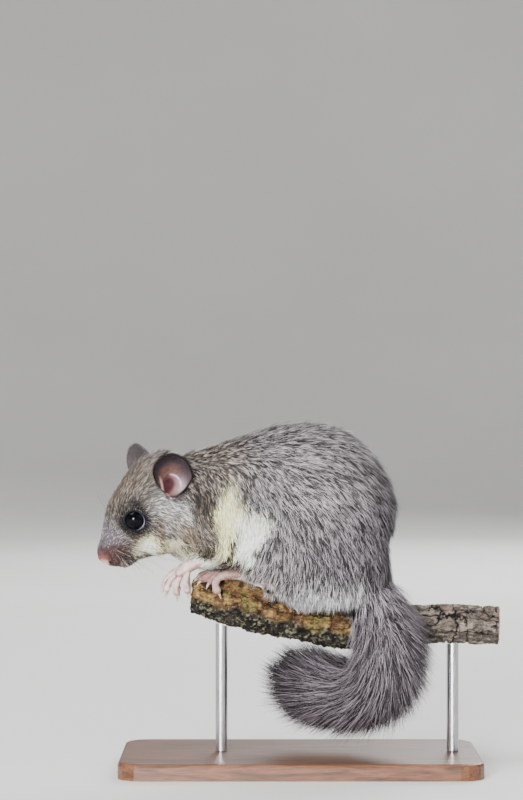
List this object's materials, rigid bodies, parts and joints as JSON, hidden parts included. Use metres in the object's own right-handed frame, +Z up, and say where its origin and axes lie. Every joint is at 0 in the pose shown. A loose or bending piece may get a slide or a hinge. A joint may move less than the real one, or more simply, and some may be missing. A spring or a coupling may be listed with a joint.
{
  "type": "edible dormouse on a branch perch",
  "caption": "Life-size edible dormouse crouched on a short cut branch, its bushy tail hanging over the side, held by a plain display stand with a flat base and rods.",
  "frame": {"origin": "middle of the stand base's underside", "axes": "+Z up; the animal faces -X with its head turned a little towards -Y, which is its left side; the branch runs along X"},
  "size_m": [0.1489, 0.074, 0.1276],
  "materials": {
    "fur_back": "grey-brown fur with pale tips",
    "fur_head": "short warm grey-brown fur",
    "fur_pale": "cream-white fur",
    "fur_tail": "long bushy grey fur with silvery tips",
    "ear_skin": "thin, almost bare skin",
    "paw_skin": "bare pink skin",
    "eye_black": "wet black eye",
    "bark": "rough bark with lichen",
    "base_wood": "satin dark wood",
    "rod_steel": "brushed steel"
  },
  "bodies": {
    "root": {"head": "fur_head", "ear_left": "ear_skin", "ear_right": "ear_skin", "eye_left": "eye_black", "eye_right": "eye_black", "neck": "fur_back", "trunk": "fur_back", "haunch_left": "fur_back", "haunch_right": "fur_back", "upper_arm_left": "fur_back", "upper_arm_right": "fur_back", "forearm_left": "fur_pale", "forearm_right": "fur_pale", "forepaw_left": "paw_skin", "forepaw_right": "paw_skin", "hindfoot_left": "paw_skin", "hindfoot_right": "paw_skin", "tail_base": "fur_tail", "tail_middle": "fur_tail", "tail_tip": "fur_tail", "perch_branch": "bark", "stand_base": "base_wood", "stand_rod_front": "rod_steel", "stand_rod_rear": "rod_steel"}
  },
  "joints": []
}
